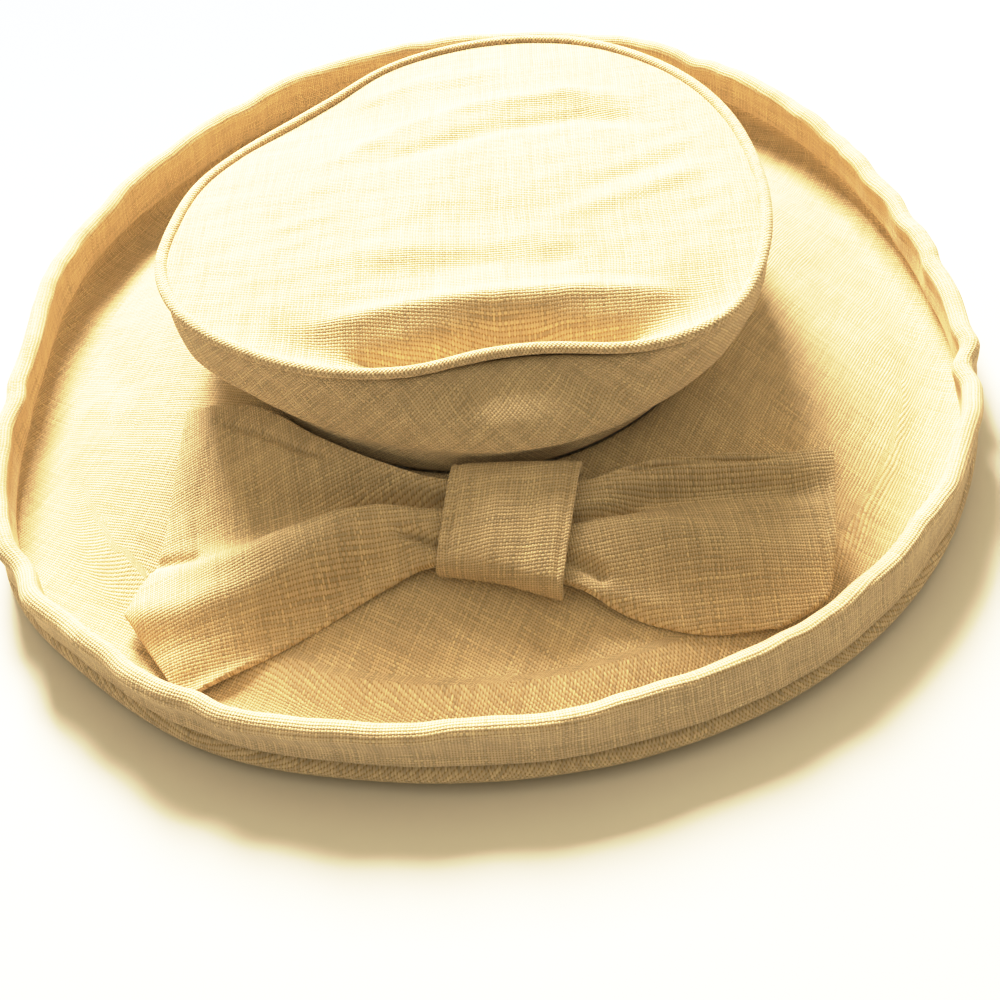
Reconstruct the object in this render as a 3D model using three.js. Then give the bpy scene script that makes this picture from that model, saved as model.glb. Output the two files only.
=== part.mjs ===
// A woven-linen sun hat lying on its brim, in millimetres: +Z is up, the bow is towards -Y.
// The floor is z = 0. Azimuths run counter-clockwise from +X, seen from above.
import * as THREE from 'three';

const CLOTH = 2.0;
const THIN_CLOTH = 1.2;
const GAP = 0.42;
const STEPS = 72;
const ROW_ANGLE = 15;

// The hat is drawn about its head seam and then moved so that its box is centred.
const SHIFT_X = -0.4;
const SHIFT_Y = -2.55;

const HEAD_SEAM = { halfWidth: 83, halfLength: 93 };
const BRIM_EDGE = { halfWidth: 170, halfLength: 186 };
// The binding starts in a crease that stands a little inside and above the belly.
const CREASE = { inset: 3.0, height: 11.6 };

// One row every 15 degrees: how far the edge stands outside its ellipse, how far the belly
// stands outside the edge, how high the edge is, and the size of the crown there. Sag is how
// far the bulge of the crown hangs down.
const OUTLINE = [
  { edgeOut: -3.1, bellyOut: 4.0, edgeHeight: 24.5,
    tipRadius: 96.0, tipHeight: 79.5, bulge: 100, sag: 0 },
  { edgeOut: -3.2, bellyOut: 4.0, edgeHeight: 24.0,
    tipRadius: 96.0, tipHeight: 79.0, bulge: 100, sag: 0 },
  { edgeOut: -1.0, bellyOut: 4.0, edgeHeight: 24.0,
    tipRadius: 97.4, tipHeight: 78.0, bulge: 100, sag: 0 },
  { edgeOut: 1.6, bellyOut: 4.0, edgeHeight: 24.5,
    tipRadius: 99.5, tipHeight: 76.5, bulge: 101, sag: 0 },
  { edgeOut: 3.8, bellyOut: 4.0, edgeHeight: 25.0,
    tipRadius: 101.5, tipHeight: 75.0, bulge: 102, sag: 0 },
  { edgeOut: 1.3, bellyOut: 4.0, edgeHeight: 25.0,
    tipRadius: 101.0, tipHeight: 73.5, bulge: 103, sag: 0 },
  { edgeOut: -0.6, bellyOut: 4.0, edgeHeight: 25.0,
    tipRadius: 98.5, tipHeight: 72.0, bulge: 103, sag: 0 },
  { edgeOut: -1.9, bellyOut: 4.0, edgeHeight: 25.5,
    tipRadius: 95.0, tipHeight: 70.5, bulge: 100, sag: 0 },
  { edgeOut: -5.3, bellyOut: 4.0, edgeHeight: 26.0,
    tipRadius: 89.0, tipHeight: 69.0, bulge: 96, sag: 0 },
  { edgeOut: -7.8, bellyOut: 4.0, edgeHeight: 26.0,
    tipRadius: 87.8, tipHeight: 69.0, bulge: 94, sag: 0 },
  { edgeOut: -3.7, bellyOut: 4.0, edgeHeight: 25.5,
    tipRadius: 90.6, tipHeight: 70.5, bulge: 94, sag: 0 },
  { edgeOut: -3.9, bellyOut: 4.0, edgeHeight: 25.0,
    tipRadius: 95.0, tipHeight: 73.0, bulge: 95, sag: 0 },
  { edgeOut: -4.0, bellyOut: 4.0, edgeHeight: 24.5,
    tipRadius: 98.2, tipHeight: 75.5, bulge: 98, sag: 0 },
  { edgeOut: 2.0, bellyOut: 3.5, edgeHeight: 24.5,
    tipRadius: 104.0, tipHeight: 77.0, bulge: 104.5, sag: 0 },
  { edgeOut: 11.0, bellyOut: 2.5, edgeHeight: 24.5,
    tipRadius: 104.5, tipHeight: 78.0, bulge: 105, sag: 0 },
  { edgeOut: 7.7, bellyOut: 1.6, edgeHeight: 24.5,
    tipRadius: 100.0, tipHeight: 77.5, bulge: 101, sag: 3 },
  { edgeOut: 6.0, bellyOut: 0.8, edgeHeight: 24.5,
    tipRadius: 95.0, tipHeight: 77.0, bulge: 96.5, sag: 6 },
  { edgeOut: -1.9, bellyOut: 2.0, edgeHeight: 24.5,
    tipRadius: 87.8, tipHeight: 75.5, bulge: 96.5, sag: 8 },
  { edgeOut: -6.2, bellyOut: 4.5, edgeHeight: 24.5,
    tipRadius: 79.5, tipHeight: 74.5, bulge: 99, sag: 9 },
  { edgeOut: -7.2, bellyOut: 7.0, edgeHeight: 24.5,
    tipRadius: 83.0, tipHeight: 75.2, bulge: 101, sag: 9 },
  { edgeOut: -3.7, bellyOut: 7.0, edgeHeight: 24.5,
    tipRadius: 98.0, tipHeight: 76.2, bulge: 103, sag: 6.5 },
  { edgeOut: 1.0, bellyOut: 5.0, edgeHeight: 24.5,
    tipRadius: 106.5, tipHeight: 77.6, bulge: 105, sag: 3 },
  { edgeOut: 3.9, bellyOut: 2.6, edgeHeight: 24.5,
    tipRadius: 103.2, tipHeight: 79.0, bulge: 104, sag: 0 },
  { edgeOut: 0.6, bellyOut: 5.0, edgeHeight: 24.5,
    tipRadius: 98.8, tipHeight: 79.6, bulge: 101, sag: 0 },
];

// Underside of the brim from the head seam (across = 0) to the belly (across = 1).
const BRIM_SLOPE = [
  { across: 0.0, height: 38.0 },
  { across: 0.14, height: 31.0 },
  { across: 0.32, height: 21.5 },
  { across: 0.5, height: 12.6 },
  { across: 0.66, height: 5.4 },
  { across: 0.79, height: 0.0 },
  { across: 0.91, height: 0.0 },
  { across: 0.97, height: 2.2 },
  { across: 1.0, height: 6.6 },
];

// Outer face of the turned-up edge from the crease (up = 0) to the top (up = 1).
const BRIM_WALL = [
  { up: 0.0 },
  { up: 0.5 },
  { up: 1.0 },
];

// Outer face of the crown side from the head seam (out = 0) to the bulge (out = 1) and
// from there back up to the tip seam (towardTip = 1).
const CROWN_SLOPE = [
  { out: 0.0, towardTip: 0, height: 40.3, sagShare: 0 },
  { out: 0.02, towardTip: 0, height: 46.5, sagShare: 0 },
  { out: 0.2, towardTip: 0, height: 52.5, sagShare: 0.3 },
  { out: 0.8, towardTip: 0, height: 56.0, sagShare: 0.55 },
  { out: 1.0, towardTip: 0, height: 62.0, sagShare: 0.9 },
  { out: 1.0, towardTip: 0.35, height: 68.0, sagShare: 0.6 },
];

// The welt, measured from the tip seam.
const WELT = { outside: 1.1, inside: 2.1, top: 0.4, shoulder: 0.6, foot: 1.9 };

// Rings of the tip from its seam inwards, and how far the hollow behind the front seam sinks
// each of them.
const TIP_RINGS = [
  { ring: 1.0, sink: 0 },
  { ring: 0.95, sink: 8.5 },
  { ring: 0.88, sink: 11.0 },
  { ring: 0.8, sink: 0.6 },
  { ring: 0.64, sink: -1.6 },
  { ring: 0.44, sink: 0 },
  { ring: 0.22, sink: 0 },
];
const TIP_HOLLOW = { degrees: 272, halfDegrees: 38 };
// Soft rises and one dent of the tip, as round-edged patches.
const TIP_PATCHES = [
  { x: -10, y: 10, halfX: 75, halfY: 60, rise: 2.0 },
  { x: -30, y: 55, halfX: 50, halfY: 16, rise: -2.0 },
];
const PATCH_EDGE = 1.6;
// Height of the middle of the tip, and how far the tip lies below its seam.
const TIP_MIDDLE = { height: 76, drop: 0.8 };

// Bow: one row per fold station from the left end to the right end. x and y are in plan and
// each lift is the height of the underside above the brim.
const BOW_STATIONS = [
  { x: -104, topY: -45, foldY: -93, ridgeY: -111, lowY: -144,
    topLift: 4.0, foldLift: 1.6, ridgeLift: 6.5, lowLift: 4.0 },
  { x: -87, topY: -56, foldY: -96, ridgeY: -110, lowY: -141,
    topLift: 5.0, foldLift: 1.2, ridgeLift: 10.5, lowLift: 2.0 },
  { x: -66, topY: -75.5, foldY: -98.5, ridgeY: -108, lowY: -134,
    topLift: 7.5, foldLift: 1.2, ridgeLift: 13.5, lowLift: 1.2 },
  { x: -47, topY: -88, foldY: -99.5, ridgeY: -107, lowY: -127,
    topLift: 7.0, foldLift: 1.2, ridgeLift: 13.0, lowLift: 1.2 },
  { x: -30, topY: -96, foldY: -101.5, ridgeY: -107, lowY: -122,
    topLift: 7.5, foldLift: 2.4, ridgeLift: 9.5, lowLift: 2.0 },
  { x: -19.5, topY: -99.4, foldY: -104, ridgeY: -109, lowY: -119,
    topLift: 4.8, foldLift: 3.8, ridgeLift: 6.0, lowLift: 4.0 },
  { x: 3, topY: -100.6, foldY: -107, ridgeY: -113, lowY: -124,
    topLift: 4.8, foldLift: 3.8, ridgeLift: 6.0, lowLift: 4.0 },
  { x: 26, topY: -102, foldY: -109.5, ridgeY: -117, lowY: -129.4,
    topLift: 4.8, foldLift: 3.8, ridgeLift: 6.0, lowLift: 4.0 },
  { x: 37, topY: -98.5, foldY: -106, ridgeY: -117, lowY: -136,
    topLift: 7.5, foldLift: 2.4, ridgeLift: 10.0, lowLift: 2.0 },
  { x: 51, topY: -96.5, foldY: -105, ridgeY: -118, lowY: -140,
    topLift: 10.0, foldLift: 2.6, ridgeLift: 11.5, lowLift: 1.2 },
  { x: 68, topY: -94.5, foldY: -105, ridgeY: -120, lowY: -143,
    topLift: 12.5, foldLift: 6.0, ridgeLift: 11.0, lowLift: 1.2 },
  { x: 87, topY: -93, foldY: -105, ridgeY: -120, lowY: -141,
    topLift: 15.0, foldLift: 11.0, ridgeLift: 11.0, lowLift: 2.0 },
  { x: 102, topY: -92, foldY: -105, ridgeY: -119, lowY: -134,
    topLift: 17.0, foldLift: 13.5, ridgeLift: 12.0, lowLift: 5.0 },
];
// The bow leans: points nearer the crown stand further right.
const BOW_LEAN = 0.3;
// How far the points of each end are drawn sideways, because the ends are cut at a slant.
const BOW_ENDS = {
  left: { top: -11, fold: -5, ridge: -12, low: 18 },
  right: { top: -2, fold: 0, ridge: 2, low: 2 },
};
const BOW_CLOTH = 2.4;
const PLEAT_STEPS = 3;

// Knot: a band around the pinched middle; along runs left to right on the band.
const KNOT_STATIONS = [
  { along: 0.0, flare: 0.5 },
  { along: 0.33, flare: 0.0 },
  { along: 0.67, flare: 0.0 },
  { along: 1.0, flare: 0.5 },
];
const KNOT = {
  left: { x: -16.5, topY: -96.6, lowY: -122.5 },
  right: { x: 21.5, topY: -98.0, lowY: -133.0 },
  bottom: 0.7,
  thickness: 11.4,
  cloth: 1.6,
  loopSteps: 20,
};

const radians = (degrees) => (degrees * Math.PI) / 180;
const mix = (a, b, t) => a + (b - a) * t;

// A smooth closed curve through the values of one column of the outline table.
function outline(column, degrees) {
  const place = (((degrees % 360) + 360) % 360) / ROW_ANGLE;
  const first = Math.floor(place);
  const t = place - first;
  const value = (step) => OUTLINE[(first + step + OUTLINE.length) % OUTLINE.length][column];
  const slopeBefore = (value(1) - value(-1)) / 2;
  const slopeAfter = (value(2) - value(0)) / 2;
  const rise = value(1) - value(0);
  return value(0) + t * slopeBefore
    + t * t * (3 * rise - 2 * slopeBefore - slopeAfter)
    + t * t * t * (slopeBefore + slopeAfter - 2 * rise);
}

function ellipseRadius(shape, degrees) {
  const c = Math.cos(radians(degrees)) / shape.halfWidth;
  const s = Math.sin(radians(degrees)) / shape.halfLength;
  return 1 / Math.hypot(c, s);
}

// Moves each point of an open line of [r, z] points to its left by a distance.
function offsetLine(points, distance) {
  return points.map((point, i) => {
    const before = points[Math.max(i - 1, 0)];
    const after = points[Math.min(i + 1, points.length - 1)];
    const length = Math.hypot(after[0] - before[0], after[1] - before[1]);
    const nr = -(after[1] - before[1]) / length;
    const nz = (after[0] - before[0]) / length;
    return [point[0] + nr * distance, point[1] + nz * distance];
  });
}

// Closes a grid of rings of points into one body; each row of the grid is a closed section.
function ringBody(sectionAt) {
  const rows = [];
  for (let i = 0; i < STEPS; i += 1) {
    const degrees = (i * 360) / STEPS;
    const c = Math.cos(radians(degrees));
    const s = Math.sin(radians(degrees));
    rows.push(sectionAt(degrees).map(([r, z]) => [r * c + SHIFT_X, r * s + SHIFT_Y, z]));
  }
  return torusGeometry(rows);
}

// The diagonal of each cell always rises the same way round, so that two faces that lie
// against each other, such as brim and binding, are divided alike.
function torusGeometry(rows) {
  const count = rows[0].length;
  const index = [];
  for (let i = 0; i < rows.length; i += 1) {
    const next = (i + 1) % rows.length;
    for (let j = 0; j < count; j += 1) {
      const up = (j + 1) % count;
      const [a, b, c, d] = [i * count + j, next * count + j, next * count + up, i * count + up];
      if (rows[i][up][2] >= rows[i][j][2]) {
        index.push(a, b, c, a, c, d);
      } else {
        index.push(a, b, d, b, c, d);
      }
    }
  }
  return bodyGeometry(rows.flat(), index);
}

// Builds the geometry and turns its faces outward if the volume comes out negative.
function bodyGeometry(points, index) {
  let volume = 0;
  for (let i = 0; i < index.length; i += 3) {
    const a = new THREE.Vector3(...points[index[i]]);
    const b = new THREE.Vector3(...points[index[i + 1]]);
    const c = new THREE.Vector3(...points[index[i + 2]]);
    volume += a.dot(b.cross(c));
  }
  if (volume < 0) {
    index.reverse();
  }
  const geometry = new THREE.BufferGeometry();
  geometry.setAttribute('position', new THREE.Float32BufferAttribute(points.flat(), 3));
  geometry.setIndex(index);
  geometry.computeVertexNormals();
  return geometry;
}

function brimOuterLine(degrees) {
  const seam = ellipseRadius(HEAD_SEAM, degrees);
  const edge = ellipseRadius(BRIM_EDGE, degrees) + outline('edgeOut', degrees) - THIN_CLOTH - GAP;
  const belly = edge + outline('bellyOut', degrees);
  const top = outline('edgeHeight', degrees);
  const slope = BRIM_SLOPE.map((row) => [mix(seam, belly, row.across), row.height]);
  const wall = BRIM_WALL.map((row) => [
    mix(belly - CREASE.inset, edge, row.up * row.up),
    mix(CREASE.height, top, row.up),
  ]);
  return { slope, wall };
}

function brimSection(degrees) {
  const { slope, wall } = brimOuterLine(degrees);
  const outer = [...slope, ...wall];
  const inner = offsetLine(outer, CLOTH);
  return [...outer, ...inner.reverse()];
}

// Height of the upper face of the brim at a point in plan.
function brimTop(x, y) {
  const degrees = (Math.atan2(y, x) * 180) / Math.PI;
  const radius = Math.hypot(x, y);
  const { slope, wall } = brimOuterLine(degrees);
  const upper = offsetLine([...slope, ...wall], CLOTH).slice(0, slope.length + 1);
  if (radius <= upper[0][0]) {
    return upper[0][1];
  }
  for (let i = 0; i < upper.length - 1; i += 1) {
    if (radius <= upper[i + 1][0]) {
      const t = (radius - upper[i][0]) / (upper[i + 1][0] - upper[i][0]);
      return mix(upper[i][1], upper[i + 1][1], t);
    }
  }
  return upper[upper.length - 1][1];
}

// The binding folds over the top of the turned-up edge, a gap away from it on both sides.
function bindingSection(degrees) {
  const { wall } = brimOuterLine(degrees);
  const leg = (distance) => offsetLine(wall, distance);
  const outside = leg(-GAP - THIN_CLOTH);
  const outsideNear = leg(-GAP);
  const insideNear = leg(CLOTH + GAP);
  const inside = leg(CLOTH + GAP + THIN_CLOTH);
  const [outR, outZ] = outside[outside.length - 1];
  const [inR, inZ] = inside[inside.length - 1];
  const roll = [
    [mix(outR, inR, 0.02), mix(outZ, inZ, 0.02) + 1.0],
    [mix(outR, inR, 0.28), mix(outZ, inZ, 0.28) + 2.2],
    [mix(outR, inR, 0.72), mix(outZ, inZ, 0.72) + 2.2],
    [mix(outR, inR, 0.98), mix(outZ, inZ, 0.98) + 1.0],
  ];
  const [nearOutR, nearOutZ] = outsideNear[outsideNear.length - 1];
  const [nearInR, nearInZ] = insideNear[insideNear.length - 1];
  const fold = [
    [nearInR, nearInZ + 0.6],
    [nearOutR, nearOutZ + 0.6],
  ];
  return [
    ...outside,
    ...roll,
    ...inside.reverse(),
    ...insideNear,
    ...fold,
    ...outsideNear.reverse(),
  ];
}

function crownLine(degrees) {
  const seam = ellipseRadius(HEAD_SEAM, degrees) + 2.6;
  const bulge = outline('bulge', degrees);
  const tip = outline('tipRadius', degrees);
  const tipHeight = outline('tipHeight', degrees);
  const line = CROWN_SLOPE.map((row) => [
    mix(mix(seam, bulge, row.out), tip, row.towardTip),
    row.height - row.sagShare * outline('sag', degrees),
  ]);
  line.push([tip - 0.2, tipHeight - 2.6]);
  return line;
}

function crownSection(degrees) {
  const outer = crownLine(degrees);
  return [...outer, ...offsetLine(outer, CLOTH).reverse()];
}

// The welt is a narrow folded strip that stands on the seam between crown side and tip.
function weltSection(degrees) {
  const radius = outline('tipRadius', degrees);
  const height = outline('tipHeight', degrees);
  return [
    [radius + WELT.outside - 0.2, height - WELT.foot],
    [radius + WELT.outside, height - WELT.shoulder],
    [radius + 0.2, height + WELT.top],
    [radius - 1.4, height + WELT.top],
    [radius - WELT.inside, height - WELT.shoulder],
    [radius - WELT.inside + 0.2, height - WELT.foot],
  ];
}

function tipRise(x, y) {
  let rise = 0;
  for (const patch of TIP_PATCHES) {
    const d = Math.hypot((x - patch.x) / patch.halfX, (y - patch.y) / patch.halfY);
    rise += patch.rise * Math.exp(-d * d * PATCH_EDGE);
  }
  return rise;
}

function tipPoint(degrees, { ring, sink }) {
  const r = (outline('tipRadius', degrees) - WELT.inside - GAP) * ring;
  const x = r * Math.cos(radians(degrees));
  const y = r * Math.sin(radians(degrees));
  const flat = mix(TIP_MIDDLE.height, outline('tipHeight', degrees), ring * ring);
  const away = (degrees - TIP_HOLLOW.degrees) / TIP_HOLLOW.halfDegrees;
  const hollow = sink * Math.exp(-(away ** 4));
  const rise = tipRise(x, y) * (1 - ring ** 6);
  return [x, y, flat - TIP_MIDDLE.drop + rise - hollow];
}

function tipGeometry() {
  const points = [];
  const index = [];
  const ringCount = TIP_RINGS.length;
  for (const drop of [0, CLOTH]) {
    for (const row of TIP_RINGS) {
      for (let i = 0; i < STEPS; i += 1) {
        const [x, y, z] = tipPoint((i * 360) / STEPS, row);
        points.push([x + SHIFT_X, y + SHIFT_Y, z - drop]);
      }
    }
    const [x, y, z] = tipPoint(0, { ring: 0, sink: 0 });
    points.push([x + SHIFT_X, y + SHIFT_Y, z - drop]);
  }
  const sheet = ringCount * STEPS + 1;
  const at = (layer, ring, i) => layer * sheet + ring * STEPS + (i % STEPS);
  for (let i = 0; i < STEPS; i += 1) {
    for (let ring = 0; ring < ringCount - 1; ring += 1) {
      index.push(at(0, ring, i), at(0, ring, i + 1), at(0, ring + 1, i + 1));
      index.push(at(0, ring, i), at(0, ring + 1, i + 1), at(0, ring + 1, i));
      index.push(at(1, ring, i), at(1, ring + 1, i + 1), at(1, ring, i + 1));
      index.push(at(1, ring, i), at(1, ring + 1, i), at(1, ring + 1, i + 1));
    }
    index.push(at(0, ringCount - 1, i), at(0, ringCount - 1, i + 1), sheet - 1);
    index.push(at(1, ringCount - 1, i + 1), at(1, ringCount - 1, i), 2 * sheet - 1);
    index.push(at(1, 0, i), at(1, 0, i + 1), at(0, 0, i + 1));
    index.push(at(1, 0, i), at(0, 0, i + 1), at(0, 0, i));
  }
  return bodyGeometry(points, index);
}

// Points across one bow station: top, fold, ridge and low edges with steps between them.
function bowAcross(station, end) {
  const middle = (station.topY + station.lowY) / 2;
  const corners = ['top', 'fold', 'ridge', 'low'].map((edge) => ({
    x: station.x + (station[`${edge}Y`] - middle) * BOW_LEAN + (end ? end[edge] : 0),
    y: station[`${edge}Y`],
    lift: station[`${edge}Lift`],
  }));
  const across = [];
  for (let i = 0; i < corners.length - 1; i += 1) {
    for (let step = 0; step < PLEAT_STEPS; step += 1) {
      const t = step / PLEAT_STEPS;
      const ease = t * t * (3 - 2 * t);
      across.push({
        x: mix(corners[i].x, corners[i + 1].x, t),
        y: mix(corners[i].y, corners[i + 1].y, t),
        lift: mix(corners[i].lift, corners[i + 1].lift, ease),
      });
    }
  }
  across.push(corners[corners.length - 1]);
  return across;
}

function bowGeometry() {
  const last = BOW_STATIONS.length - 1;
  const rows = BOW_STATIONS.map((station, i) => {
    const end = (i === 0 && BOW_ENDS.left) || (i === last && BOW_ENDS.right) || null;
    return bowAcross(station, end);
  });
  const count = rows[0].length;
  const points = [];
  for (const raise of [0, BOW_CLOTH]) {
    for (const row of rows) {
      for (const p of row) {
        points.push([p.x + SHIFT_X, p.y + SHIFT_Y, brimTop(p.x, p.y) + p.lift + raise]);
      }
    }
  }
  const at = (layer, i, j) => (layer * rows.length + i) * count + j;
  const index = [];
  for (let i = 0; i < last; i += 1) {
    for (let j = 0; j < count - 1; j += 1) {
      index.push(at(1, i, j), at(1, i, j + 1), at(1, i + 1, j + 1));
      index.push(at(1, i, j), at(1, i + 1, j + 1), at(1, i + 1, j));
      index.push(at(0, i, j), at(0, i + 1, j + 1), at(0, i, j + 1));
      index.push(at(0, i, j), at(0, i + 1, j), at(0, i + 1, j + 1));
    }
    index.push(at(0, i, 0), at(1, i, 0), at(1, i + 1, 0));
    index.push(at(0, i, 0), at(1, i + 1, 0), at(0, i + 1, 0));
    index.push(at(0, i, count - 1), at(1, i + 1, count - 1), at(1, i, count - 1));
    index.push(at(0, i, count - 1), at(0, i + 1, count - 1), at(1, i + 1, count - 1));
  }
  for (let j = 0; j < count - 1; j += 1) {
    index.push(at(0, 0, j), at(1, 0, j + 1), at(1, 0, j));
    index.push(at(0, 0, j), at(0, 0, j + 1), at(1, 0, j + 1));
    index.push(at(0, last, j), at(1, last, j), at(1, last, j + 1));
    index.push(at(0, last, j), at(1, last, j + 1), at(0, last, j + 1));
  }
  return bodyGeometry(points, index);
}

// One point of the knot band: the loop runs around the bundle, inset is from its outer face.
function knotPoint(station, angle, inset) {
  const topY = mix(KNOT.left.topY, KNOT.right.topY, station.along);
  const lowY = mix(KNOT.left.lowY, KNOT.right.lowY, station.along);
  const halfAcross = (topY - lowY) / 2 - inset + station.flare;
  const halfThick = KNOT.thickness / 2 - inset;
  const c = Math.cos(angle);
  const s = Math.sin(angle);
  const across = Math.sign(c) * Math.abs(c) ** 0.6 * halfAcross;
  const lift = Math.sign(s) * Math.abs(s) ** 0.6 * halfThick;
  const x = mix(KNOT.left.x, KNOT.right.x, station.along) + across * BOW_LEAN;
  const y = (topY + lowY) / 2 + across;
  return [
    x + SHIFT_X,
    y + SHIFT_Y,
    brimTop(x, y) + KNOT.bottom + KNOT.thickness / 2 + lift,
  ];
}

function knotGeometry() {
  const rows = [];
  for (let i = 0; i < KNOT.loopSteps; i += 1) {
    const angle = (i * 2 * Math.PI) / KNOT.loopSteps;
    const outer = KNOT_STATIONS.map((station) => knotPoint(station, angle, 0));
    const inner = KNOT_STATIONS.map((station) => knotPoint(station, angle, KNOT.cloth));
    rows.push([...outer, ...inner.reverse()]);
  }
  return torusGeometry(rows);
}

function piece(name, geometry, color) {
  const material = new THREE.MeshStandardMaterial({ color, roughness: 0.92, metalness: 0 });
  const mesh = new THREE.Mesh(geometry, material);
  mesh.name = name;
  return mesh;
}

const hat = new THREE.Group();
hat.name = 'sun_hat';
hat.add(
  piece('brim', ringBody(brimSection), '#dcc493'),
  piece('brim_binding', ringBody(bindingSection), '#e0ca9c'),
  piece('crown_side', ringBody(crownSection), '#d8be8c'),
  piece('crown_tip', tipGeometry(), '#eadcb4'),
  piece('tip_welt', ringBody(weltSection), '#e4d0a2'),
  piece('bow', bowGeometry(), '#d9c08e'),
  piece('bow_knot', knotGeometry(), '#d6bc88'),
);

export default hat;
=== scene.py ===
import math

import bmesh
import bpy
import numpy as np
from mathutils import Matrix, Vector, noise


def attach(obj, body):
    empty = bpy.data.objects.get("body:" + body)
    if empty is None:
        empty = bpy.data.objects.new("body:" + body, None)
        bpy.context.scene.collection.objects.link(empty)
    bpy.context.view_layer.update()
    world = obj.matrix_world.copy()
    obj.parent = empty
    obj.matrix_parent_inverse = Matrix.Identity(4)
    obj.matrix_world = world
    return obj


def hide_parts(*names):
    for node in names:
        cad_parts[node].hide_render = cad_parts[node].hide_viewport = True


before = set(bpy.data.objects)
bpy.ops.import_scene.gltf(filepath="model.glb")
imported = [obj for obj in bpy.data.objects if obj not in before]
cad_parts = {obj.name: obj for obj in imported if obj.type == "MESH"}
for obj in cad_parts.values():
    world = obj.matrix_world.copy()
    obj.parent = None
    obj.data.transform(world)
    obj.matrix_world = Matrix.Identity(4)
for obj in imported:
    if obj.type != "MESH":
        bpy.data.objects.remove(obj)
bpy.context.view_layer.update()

bl_info = {
    "name": "Linen sun hat",
    "version": (1, 0, 0),
    "blender": (4, 5, 0),
    "location": "View3D > Sidebar > Hat",
    "description": "Dresses a soft linen sun hat with a bow, lying on its brim",
    "category": "Object",
}

MM = 0.001
RING_STEPS = 72
MERGE_DISTANCE = 2e-6
SHARP_ANGLE = math.radians(55)
# Only the brim's cut edge at the head seam lies above this height.
SEAM_HEIGHT = 37.5 * MM
# A point where more edges meet is the middle of a fan, and its edges are no diagonals.
FAN_EDGES = 20
LENGTH_SLACK = 1.00001
# Share of its length that an edge has to rise to count as an upright corner.
UPRIGHT = 0.8
# Share of its path over which a fold fades in, and out again.
FOLD_FADE = 0.22


def seam_centre():
    """Middle of the head seam, which all the rings of the hat are drawn around."""
    points = np.array([v.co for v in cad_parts["brim"].data.vertices])
    seam = points[points[:, 2] > SEAM_HEIGHT]
    return (seam.max(0)[:2] + seam.min(0)[:2]) / 2


CENTRE = seam_centre()

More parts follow.
